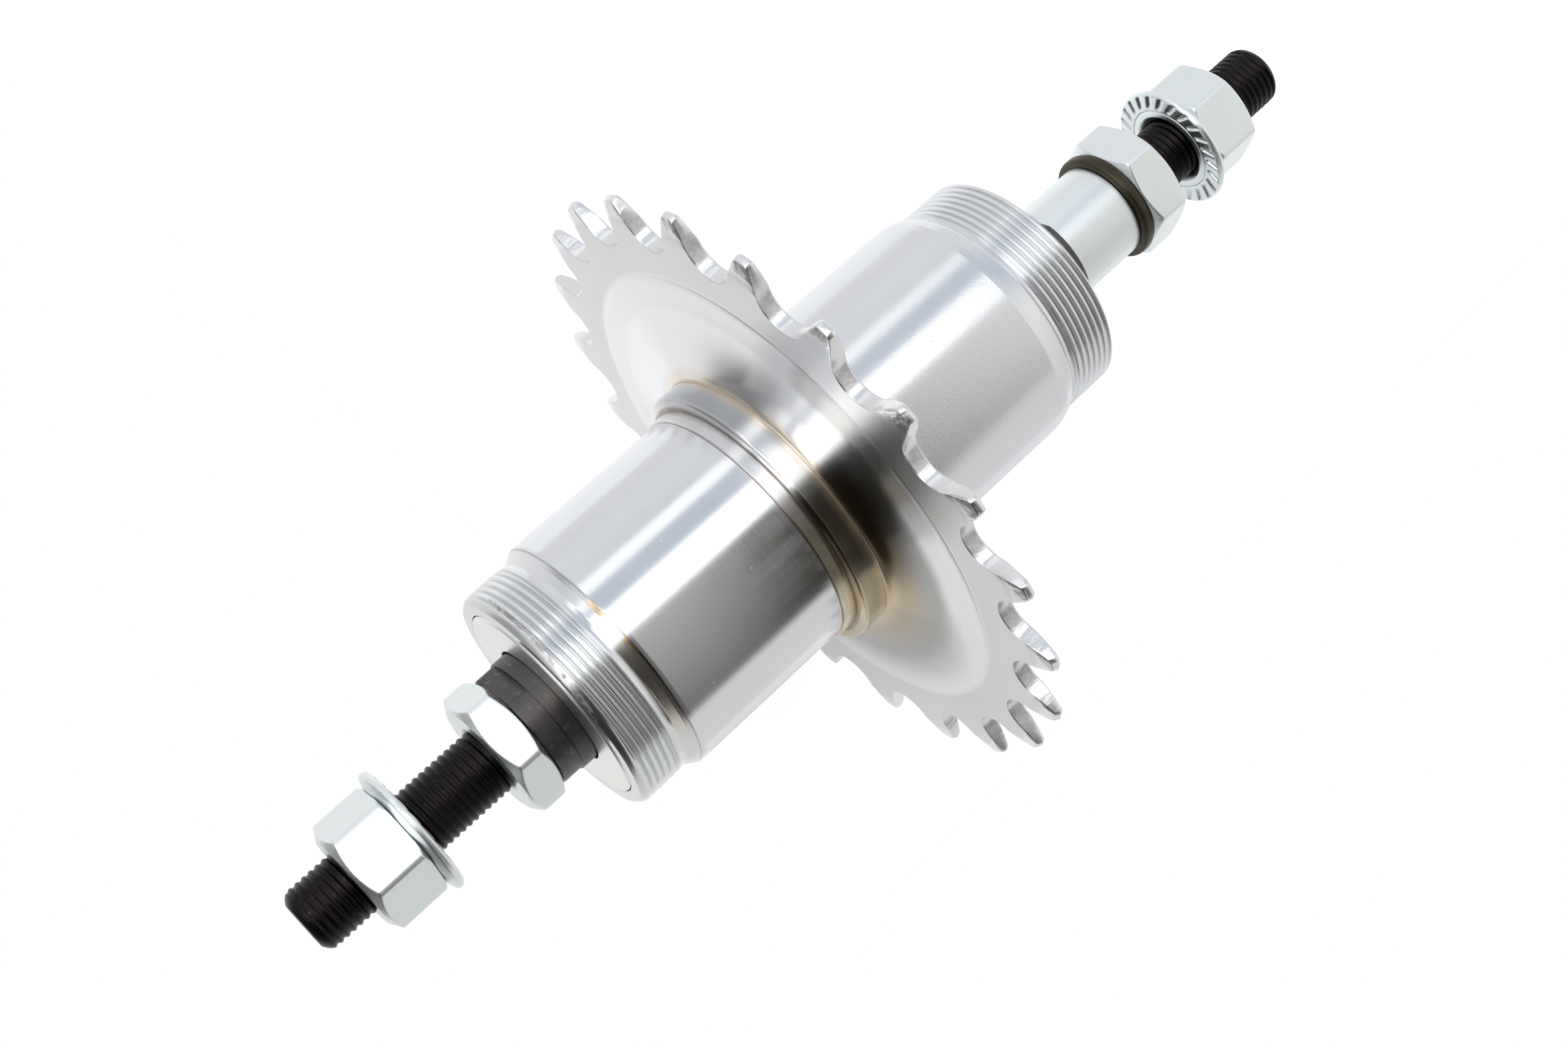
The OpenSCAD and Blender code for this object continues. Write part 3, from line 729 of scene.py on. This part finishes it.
def rings(stop_finish, sleeve_finish, washer_finish):
    """The plain rings: the sprocket's stop, the spacer sleeve and the black washer beside it."""
    stop_bore = SHELL_R - 0.79
    stop_r = SHELL_R + 0.4
    sleeve_r = 7.4
    washer_r = 8.5
    loose_bore = AXLE_R + 0.12
    outline = [(stop_bore, STOP_START, 0), (stop_r - 0.15, STOP_START, 0.1),
               (stop_r, STOP_START + 0.18, 0.12), (stop_r, STOP_END, 0.04), (stop_bore, STOP_END, 0)]
    piece = turned_piece("stop_ring_turned", filleted(outline, True, 3), 192)
    hand_over(piece, "hub", stop_finish, "sprocket_stop_ring")
    outline = [(loose_bore, RIGHT_CONE_END, 0.1), (sleeve_r, RIGHT_CONE_END, 0.2), (sleeve_r, 56.0, 0),
               (sleeve_r, SLEEVE_END, 0.2), (loose_bore, SLEEVE_END, 0.1)]
    piece = turned_piece("spacer_sleeve_turned", filleted(outline, True, 3), 128)
    hand_over(piece, "axle_set", sleeve_finish, "spacer_sleeve")
    outline = [(loose_bore, SLEEVE_END, 0), (washer_r, SLEEVE_END, 0.55), (washer_r, WASHER_END, 0.5),
               (loose_bore, WASHER_END, 0)]
    piece = turned_piece("lock_washer_turned", filleted(outline, True, 5), 128)
    hand_over(piece, "axle_set", washer_finish, "lock_washer")


# Finishes

class Finish(Works):
    """A metal with one principled shader, its Object coordinates in millimetres at hand."""

    def __init__(self, name):
        self.material = bpy.data.materials.new(name)
        self.material.use_nodes = True
        super().__init__(self.material.node_tree)
        self.shader = next(n for n in self.tree.nodes if n.type == "BSDF_PRINCIPLED")
        self.shader.inputs["Metallic"].default_value = 1.0
        self.place = self.scaled(self.wire("ShaderNodeTexCoord", output=3), 1 / MM)
        self.x, self.y, self.z = self.parts(self.place)
        self.r = self.maths("SQRT", self.x * self.x + self.z * self.z)
        self.w = self.maths("ARCTAN2", self.z, self.x) * (360 / TURN)

    def stretched(self, across, along):
        """The place with its scale set across and along the axle."""
        return self.vector(self.x * across, self.y * along, self.z * across)

    def noise(self, vector, scale, detail=2.0, roughness=0.5):
        """Smooth noise from about 0 to 1."""
        sockets = {"Vector": vector, "Scale": scale, "Detail": detail, "Roughness": roughness}
        return self.wire("ShaderNodeTexNoise", sockets, {"normalize": True})

    def specks(self, scale, size):
        """1 in small round specks, 0 elsewhere."""
        sockets = {"Vector": self.place, "Scale": scale}
        distance = self.wire("ShaderNodeTexVoronoi", sockets, {"feature": "F1"})
        return self.step(distance, size, size * 0.5)

    def set(self, socket, value):
        self.tree.links.new(value.socket, self.shader.inputs[socket])

    def bump(self, height, distance, strength=1.0):
        """Surface relief. The distance is in millimetres."""
        self.set("Normal", self.wire("ShaderNodeBump", {
            "Height": height, "Distance": distance * MM, "Strength": strength}))


def plated_steel():
    """The bright plating of the shell: fine turning marks, a few specks, an amber tint and bare copper at the
    left shoulder, and a darker line along the first thread groove. Painted shade darkens the thread grooves,
    the shoulder's notch and streaks beside the stop ring."""
    finish = Finish("plated_steel")
    step, mixed, noise, clamp = finish.step, finish.mixed, finish.noise, finish.clamp
    r, w, y = finish.r, finish.w, finish.y
    slope_y = -36.2
    copper_y = -35.45
    notch_y = -35.2
    groove_y = -43.24
    lines = noise(finish.stretched(0.03, 5.0), 1.0, 3.0)
    cloud = noise(finish.place, 0.12, 3.0)
    orange_peel = noise(finish.stretched(1.0, 0.6), 1.6, 2.0)
    blotch = noise(finish.place, 0.9, 3.0)
    specks = finish.specks(0.33, 0.06)
    smears = noise(finish.stretched(0.35, 0.03), 1.0, 2.0)
    fine_grain = noise(finish.place, 3.0, 2.0)
    steel = mixed(cloud, (0.77, 0.785, 0.805), (0.83, 0.84, 0.855))
    thread = step(abs(y - SHELL_MIDDLE), 37.6, 38.2)
    # Greyer deeper in the thread grooves: painted shade
    root_shade = thread * step(r, HUB_THREAD_R, NECK_R)
    greyed = mixed(root_shade * 0.6, steel, (0.60, 0.62, 0.61))
    # Beside the stop ring, grey streaks on the front darken the tube's reflection: painted shade
    streak_shade = step(y, -21.0, -10.5) * step(abs(w - 47.0), 20.0, 10.0)
    streak_shade = streak_shade * step(y, -8.0, -9.0) * clamp(smears * 4.0 - 1.3)
    greyed = mixed(streak_shade * 0.75, greyed, (0.25, 0.225, 0.18))
    slope = step(abs(y - slope_y), 1.1, 0.5) * step(w, 80.0, 60.0)
    low = step(w, 36.0, 8.0)
    tinted = mixed(slope * (0.55 - low * 0.4), greyed, (0.72, 0.62, 0.44))
    # The notch at the shoulder is painted dark as shade, more on the front and less at the bottom
    notch = step(abs(y - notch_y), 0.17, 0.08)
    notch = notch * (0.4 + 0.4 * step(w, 80.0, 62.0) - low * 0.5)
    notch_shaded = mixed(notch, tinted, (0.16, 0.13, 0.10))
    patches = step(abs(w - 87.0), 5.5, 3.5) + step(abs(w - 67.5), 4.5, 3.0)
    bare = step(abs(y - copper_y), 0.42, 0.28) * clamp(patches)
    bare = bare * step(blotch, 0.30, 0.42)
    coppery = mixed(bare * 0.85, notch_shaded, (0.80, 0.56, 0.34))
    # A darker, rougher line along the first thread groove on the upper front
    dark_groove_line = abs(y - groove_y + (113.0 - w) * 0.018)
    dark_groove = step(dark_groove_line, 0.32, 0.1) * step(abs(w - 92.0), 42.0, 30.0)
    dark_groove = dark_groove * step(blotch, 0.38, 0.62)
    finish.set("Base Color", mixed(dark_groove * 0.7, coppery, (0.42, 0.34, 0.27)))
    # The tube is a little duller behind the sprocket
    duller = step(y, 0.0, 2.0)
    gloss = 0.10 + lines * 0.05 + cloud * 0.06 + specks * 0.3 + thread * 0.05
    finish.set("Roughness", clamp(gloss + slope * 0.08 + dark_groove * 0.3 + duller * 0.05))
    relief = lines * 0.5 + orange_peel * (0.5 + duller * 1.2) + specks * 0.4 + fine_grain * duller * 2.5
    finish.bump(relief, 0.0035, 0.6)
    return finish.material


def satin_steel():
    """The sprocket's sheet: satin faces, bright sheared edges and a straw tint beside the weld. Painted shade
    darkens the collar, its joint with the stop ring, a band inside the raised disc and the lower front of the
    dish.
    """
    finish = Finish("satin_steel")
    step, mixed, noise, clamp = finish.step, finish.mixed, finish.noise, finish.clamp
    r, w, y = finish.r, finish.w, finish.y
    bead_r = 20.95
    bead_y = -3.75
    dish_r = (DISH_FRONT_R + DISH_BACK_R) / 2
    cloud = noise(finish.place, 0.1, 3.0)
    blotch = noise(finish.place, 0.45, 3.0)
    grain = noise(finish.place, 2.5, 4.0, 0.6)
    edge = step(r, 40.2, 40.5) * step(abs(y), SHEET_HALF - 0.07, SHEET_HALF - 0.2)
    bead = step(abs(r - bead_r), 0.36, 0.12) * step(abs(y - bead_y), 0.36, 0.12)
    halo = step(abs(r - 21.3), 2.2, 0.2) * step(abs(y + 3.8), 1.5, 0.3)
    # Painted shade darkens the lower front of the dish: grey further out, and near the weld a straw tint that
    # is made darker as painted shade
    middle = DISH_CENTRE[1] + dish_r - (DISH_CENTRE[0] - r) ** 2.0 / (2 * dish_r)
    in_front = step(y - middle, 0.3, -0.3)
    lower = step(w, 72.0, 55.0) * step(w, -170.0, -120.0) * in_front
    bottom = step(w, 20.0, -15.0)
    grey = lower * step(r, 32.0 + bottom * 3.5, 28.5 - bottom)
    straw = lower * step(r, 27.5 + blotch * 2, 23.0)
    collar = step(r, COLLAR_R + 0.25, COLLAR_R + 0.1)
    # Painted shade on the collar: blue-grey on its upper back and dark brown on its front
    above = collar * step(w, 94.0, 104.0) * step(w, 170.0, 140.0)
    front = collar * step(w, 24.0, 38.0) * step(w, 72.0, 62.0)
    toothed_ring = step(r, DISC_R + 0.1, DISC_R + 0.7)
    steel = mixed(cloud, (0.82, 0.82, 0.825), (0.87, 0.87, 0.87))
    steel = mixed(toothed_ring - edge, steel, (0.765, 0.765, 0.765))
    # A duller, darker band inside the raised disc's edge on the front: painted shade that breaks the lamp's
    # reflection
    dull = step(r, 29.5, 31.5) * step(r, DISC_R + 0.5, DISC_R - 0.1) * in_front
    dull = dull * step(abs(w - 79.0), 12.0, 7.0)
    steel = mixed(dull * 0.75, steel, (0.54, 0.525, 0.495))
    greyed = mixed(grey, steel, (0.37, 0.37, 0.36))
    straw_and_shade = mixed(straw * clamp(0.45 + cloud), greyed, (0.44, 0.36, 0.245))
    golden = collar * step(w, 27.0, 12.0) * step(w, -170.0, -120.0)
    straw_and_shade = mixed(golden * 0.6, straw_and_shade, (0.66, 0.56, 0.39))
    collar_shade = mixed(front, (0.41, 0.425, 0.45), (0.13, 0.11, 0.09))
    tinted = mixed(clamp(above * 0.85 + front * 0.8), straw_and_shade, collar_shade)
    # A brown line on the collar's end face by the stop ring: painted shade in the joint
    seam_shade = step(r, 19.7, 19.2) * step(y, STOP_END + 0.3, STOP_END + 0.1)
    tinted = mixed(seam_shade * clamp(0.3 + blotch), tinted, (0.22, 0.17, 0.13))
    glow = mixed(halo * clamp(0.15 + blotch * 0.6), tinted, (0.74, 0.60, 0.42))
    welded = mixed(bead * clamp(0.35 + blotch * 0.8), glow, (0.52, 0.40, 0.26))
    finish.set("Base Color", welded)
    polished = step(r, 36.6, 35.6) * 0.06 + step(r, 32.0, 30.5) * 0.08
    satin = 0.24 + cloud * 0.06 + grain * 0.05
    finish.set("Roughness", clamp(satin - edge * 0.03 - polished + bead * 0.1))
    rough_cut = noise(finish.stretched(1.0, 0.35), 0.9, 2.0) * edge
    relief = grain * 0.012 * step(r, 33.0, 37.0) + rough_cut * 0.5 + bead * blotch * 0.3
    finish.bump(relief, 0.25, 0.7)
    return finish.material


def heat_tinted_steel():
    """The stop ring: pale steel that turns dark straw on the lower front as painted shade and pale gold at
    the bottom, with brown along both edges, part stain and part painted shade in the joints.
    """
    finish = Finish("heat_tinted_steel")
    cloud = finish.noise(finish.place, 0.3, 3.0)
    edges = finish.step(abs(finish.y - (STOP_START + STOP_END) / 2), 0.75, 1.0)
    lines = finish.noise(finish.stretched(0.05, 6.0), 1.0, 2.0)
    # Dark straw on the lower front is painted shade; the very bottom is pale gold
    lower = finish.step(finish.w, 72.0, 50.0)
    film = finish.mixed(lower, (0.80, 0.80, 0.81), (0.52, 0.47, 0.36))
    film = finish.mixed(finish.step(finish.w, 30.0, 14.0), film, (0.80, 0.715, 0.56))
    # Brown along both edges, less on top: part stain, part painted shade in the joints
    edges = edges * (1.0 - finish.step(finish.w, 84.0, 100.0) * 0.55)
    colour = finish.mixed(edges * finish.clamp(cloud * 1.6 - 0.35), film, (0.50, 0.36, 0.25))
    finish.set("Base Color", colour)
    finish.set("Roughness", finish.clamp(0.16 + cloud * 0.08 + edges * 0.1))
    finish.bump(lines, 0.003, 0.5)
    return finish.material


def zinc_plate():
    """Clear zinc plate: pale, faintly blue with a straw film in places, softly blotched and scratched."""
    finish = Finish("zinc_plate")
    cloud = finish.noise(finish.place, 0.35, 4.0, 0.6)
    veil = finish.noise(finish.place, 0.9, 2.0)
    grain = finish.noise(finish.place, 6.0, 3.0, 0.6)
    scratch = finish.step(finish.noise(finish.stretched(0.5, 7.0), 1.0, 3.0), 0.62, 0.72)
    pale = finish.mixed(cloud, (0.84, 0.89, 0.905), (0.90, 0.935, 0.935))
    film = finish.mixed(finish.clamp(veil * 2.2 - 1.05) * 0.5, pale, (0.90, 0.89, 0.74))
    cool = finish.mixed(finish.clamp(0.95 - veil * 2.1) * 0.7, film, (0.70, 0.90, 0.94))
    finish.set("Base Color", cool)
    finish.set("Roughness", finish.clamp(0.28 + cloud * 0.14 + scratch * 0.08))
    finish.bump(grain * 0.6 + scratch * 0.4, 0.01, 0.6)
    return finish.material


def black_oxide(name, colour, worn, roughness, wear=0.5):
    """Blackened steel: brown-black, with bare metal rubbed through in random patches."""
    finish = Finish(name)
    cloud = finish.noise(finish.place, 0.5, 3.0)
    blotch = finish.noise(finish.place, 1.1, 4.0, 0.6)
    grain = finish.noise(finish.place, 5.0, 4.0, 0.65)
    rubbed = finish.step(grain, 0.62, 0.72) * 0.5
    rubbed = finish.clamp(rubbed + finish.step(blotch, 0.56, 0.72) * 0.6) * wear
    base = finish.mixed(finish.clamp(cloud * 0.8 + 0.1), colour, tuple(c * 1.7 for c in colour))
    finish.set("Base Color", finish.mixed(rubbed, base, worn))
    finish.set("Roughness", finish.clamp(roughness + cloud * 0.12 - rubbed * 0.1))
    finish.bump(grain, 0.012, 0.5)
    return finish.material


def pale_cap():
    """The pressed dust caps, with a dull pale plating."""
    finish = Finish("pale_cap")
    cloud = finish.noise(finish.place, 0.3, 3.0)
    grain = finish.noise(finish.place, 5.0, 3.0)
    finish.set("Base Color", finish.mixed(cloud, (0.88, 0.88, 0.85), (0.95, 0.95, 0.93)))
    finish.set("Roughness", finish.clamp(0.27 + cloud * 0.08))
    finish.bump(grain, 0.01, 0.4)
    return finish.material


def bearing_steel(name, colour, roughness):
    """Plain steel inside the bearings."""
    finish = Finish(name)
    cloud = finish.noise(finish.place, 0.4, 3.0)
    grain = finish.noise(finish.place, 6.0, 3.0)
    finish.set("Base Color", finish.mixed(cloud, colour, tuple(min(1.0, c * 1.15) for c in colour)))
    finish.set("Roughness", finish.clamp(roughness + cloud * 0.08))
    finish.bump(grain, 0.004, 0.4)
    return finish.material


def give_finish(node, finish):
    """A CAD node that keeps its shape gets a better finish."""
    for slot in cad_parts[node].material_slots:
        slot.material = finish


# Studio

def camera():
    """Sees the part as the photograph does, with a lens of the same length in the same width."""
    lens_pixels = 3233.54
    picture_pixels = 2353
    data = bpy.data.cameras.new("camera")
    data.sensor_width = 36.0
    data.lens = data.sensor_width * lens_pixels / picture_pixels
    data.clip_start = 0.01
    data.clip_end = 50.0
    held = bpy.data.objects.new("camera", data)
    right = Vector((0.706941, 0.707273, 0.0))
    up = Vector((-0.639254, 0.638954, 0.427892))
    back = Vector((0.302636, -0.302494, 0.903830))
    place = Vector((90.219, -92.170, 260.812)) * MM
    turned = Matrix((right, up, back)).transposed()
    held.matrix_world = Matrix.Translation(place) @ turned.to_4x4()
    bpy.context.scene.collection.objects.link(held)
    bpy.context.scene.camera = held


def ray_kinds(works):
    """1 or 0 for a ray that comes straight from the camera, off a surface or through one."""
    path = works.node("ShaderNodeLightPath")
    outputs = {out.name: Wire(works, out) for out in path.outputs}
    return outputs["Is Camera Ray"], outputs["Is Glossy Ray"], outputs["Is Transmission Ray"]


def studio():
    """A white room with one long lamp overhead and a strip lamp beside it, both along the axle. Towards +X
    and past the left end it is dark. Angles go round the axle from +X towards +Z, in degrees."""
    world = bpy.data.worlds.new("studio")
    bpy.context.scene.world = world
    world.use_nodes = True
    works = Works(world.node_tree)
    works.tree.nodes.clear()
    x, y, z = works.parts(works.wire("ShaderNodeTexCoord"))
    round_share = works.maths("ARCTAN2", z, x) / TURN + 0.5
    along_share = y * 0.5 + 0.5

    def share_at(angle):
        return (angle + 180) / 360

    def band(low, high, soft):
        """1 between two angles."""
        up = works.step(round_share, share_at(low - soft), share_at(low + soft))
        down = works.step(round_share, share_at(high + soft), share_at(high - soft))
        return up * down

    def round_levels(levels):
        """Colours by the angle."""
        stops = [(share_at(angle), colour) for angle, colour in levels]
        return works.wire("ShaderNodeValToRGB", {0: round_share}, {"stops": stops})

    def shade(levels):
        """Warm grey levels by the direction's part along the axle, from -1 to 1."""
        stops = [((t + 1) / 2, (v, v * 0.97, v * 0.935)) for t, v in levels]
        return works.wire("ShaderNodeValToRGB", {0: along_share}, {"stops": stops})

    walls = [(-180, (0.80, 0.80, 0.81)), (-150, (0.90, 0.90, 0.90)), (-95, (0.93, 0.93, 0.93)),
             (-76, (0.75, 0.75, 0.75)), (-32, (0.72, 0.72, 0.72)), (8, (0.82, 0.82, 0.82)),
             (30, (0.92, 0.92, 0.92)), (55, (0.90, 0.90, 0.90)),
             (100, (0.56, 0.61, 0.70)), (120, (0.62, 0.67, 0.74)), (132, (0.745, 0.76, 0.785)),
             (151, (0.82, 0.83, 0.845)), (168, (0.78, 0.785, 0.80)), (180, (0.80, 0.80, 0.81))]
    room = round_levels(walls)
    far_left = [(-180, 0.55), (-150, 0.6), (-130, 1.0), (60, 1.0), (75, 0.0), (138, 0.0), (160, 0.55),
                (180, 0.55)]
    share = round_levels([(angle, (v, v, v)) for angle, v in far_left])
    room = works.mixed(share * works.step(y, -0.49, -0.63), room, (0.16, 0.155, 0.15))
    # The dark field towards +X: its levels along the axle, at 72 degrees and at -18 degrees
    upper = shade([(-1.0, 0.03), (-0.45, 0.04), (-0.2, 0.12), (0.0, 0.35), (0.17, 0.48), (0.21, 0.51),
                   (0.231, 0.66), (0.245, 0.78), (0.255, 0.70), (0.262, 0.50), (0.268, 0.32), (0.274, 0.18),
                   (0.281, 0.07), (0.292, 0.02), (0.325, 0.03), (0.36, 0.82), (0.372, 0.88), (1.0, 0.88)])
    lower = shade([(-1.0, 0.03), (-0.2, 0.06), (0.0, 0.14), (0.17, 0.15), (0.21, 0.155), (0.231, 0.18),
                   (0.245, 0.235), (0.255, 0.20), (0.262, 0.14), (0.272, 0.06), (0.285, 0.02), (0.325, 0.02),
                   (0.36, 0.42), (0.372, 0.46), (1.0, 0.46)])
    height = works.maths("MULTIPLY_ADD", round_share, 4.0, -1.8, clamp=True)
    # Its lower edge stands higher or lower towards the two ends
    shift = works.step(y, 0.33, 0.37) * (9 / 360) - works.step(y, -0.48, -0.58) * (75 / 360)
    shift = shift + works.step(y, -0.36, -0.41) * (42 / 360)
    dark = works.step(round_share, share_at(-23) + shift, share_at(-13) + shift)
    dark = dark * works.step(round_share, share_at(77), share_at(67)) * works.step(y, 0.465, 0.435)
    room = works.mixed(dark, room, works.mixed(height, lower, upper))
    left_part = works.step(y, -0.12, -0.4)
    lamp = band(71.5, 97.2 + left_part * 11, 1.8) * works.step(y, 0.468, 0.435)
    strip = band(116.5, 128, 1.6) * works.step(y, 0.475, 0.435)
    room = works.mixed(lamp, room, (1.0, 1.0, 1.0))
    room = works.mixed(strip, room, (1.0, 1.0, 1.0))
    direct, _, _ = ray_kinds(works)
    strength = 1.0 + lamp * (0.65 + left_part * 0.25) + strip * 0.3
    lit = works.wire("ShaderNodeBackground", {"Color": room, "Strength": strength})
    plain = works.wire("ShaderNodeBackground", {"Color": (1, 1, 1, 1), "Strength": 1.0})
    works.node("ShaderNodeOutputWorld", {0: works.wire("ShaderNodeMixShader", {0: direct, 1: lit, 2: plain})})


def floor():
    """White under the part, with a faint shadow. It ends beside the part, so that steel reflects the room."""
    level = -48.0
    corners = [(-600, -24), (40, -24), (40, 2000), (-600, 2000)]
    plane = new_piece("floor", [(x, y, level) for x, y in corners], [(0, 1, 2, 3)])
    material = bpy.data.materials.new("floor")
    material.use_nodes = True
    works = Works(material.node_tree)
    works.tree.nodes.clear()
    direct, glossy, through = ray_kinds(works)
    shown = direct * 0.60 + glossy * 0.25 + through * 0.4
    diffuse = works.wire("ShaderNodeBsdfDiffuse", {"Color": (0.9, 0.9, 0.9, 1)})
    glow = works.wire("ShaderNodeEmission", {"Color": (1, 1, 1, 1), "Strength": shown})
    works.node("ShaderNodeOutputMaterial", {0: works.wire("ShaderNodeAddShader", {0: diffuse, 1: glow})})
    plane.data.materials.append(material)


def make_hub():
    """Every piece in turn. The cups and the retainers keep their CAD shape."""
    copies = copies_round_axle_tree()
    thread = screw_thread_tree()
    balls = ball_ring_tree()
    plated = plated_steel()
    satin = satin_steel()
    zinc = zinc_plate()
    thread_black = black_oxide("black_oxide", (0.016, 0.014, 0.013), (0.10, 0.095, 0.09), 0.32, 0.35)
    cone_black = black_oxide("cone_oxide", (0.085, 0.08, 0.077), (0.30, 0.295, 0.29), 0.32, 0.7)
    washer_black = black_oxide("black_washer", (0.05, 0.045, 0.03), (0.14, 0.13, 0.09), 0.32, 0.5)
    cap = pale_cap()
    axle(thread, thread_black)
    hub_shell(thread, plated)
    sprocket(copies, satin)
    rings(heat_tinted_steel(), zinc, washer_black)
    lock_nut("left_lock_nut", LEFT_LOCK_FACE, LEFT_CONE_END, 1.75, 80, zinc)
    lock_nut("right_lock_nut", WASHER_END, RIGHT_LOCK_FACE, 1.55, 55, zinc)
    axle_nut(CHAIN_SIDE, LEFT_NUT_FACE, 77, zinc)
    axle_nut(FREE_SIDE, RIGHT_NUT_FACE, 54, zinc)
    nut_washer(CHAIN_SIDE, LEFT_NUT_FACE, copies, zinc)
    nut_washer(FREE_SIDE, RIGHT_NUT_FACE, copies, zinc)
    cone(CHAIN_SIDE, cone_black)
    cone(FREE_SIDE, cone_black)
    dust_cap(CHAIN_SIDE, cap)
    dust_cap(FREE_SIDE, cap)
    bright = bearing_steel("ball_steel", (0.80, 0.80, 0.81), 0.06)
    ball_ring(CHAIN_SIDE, balls, bright)
    ball_ring(FREE_SIDE, balls, bright)
    cup = bearing_steel("hardened_steel", (0.55, 0.55, 0.56), 0.2)
    retainer = bearing_steel("retainer_steel", (0.50, 0.47, 0.40), 0.3)
    for end in END_NAME.values():
        give_finish(end + "_bearing_cup", cup)
        give_finish(end + "_ball_retainer", retainer)


bpy.context.scene.view_settings.view_transform = "Standard"
camera()
studio()
floor()
make_hub()
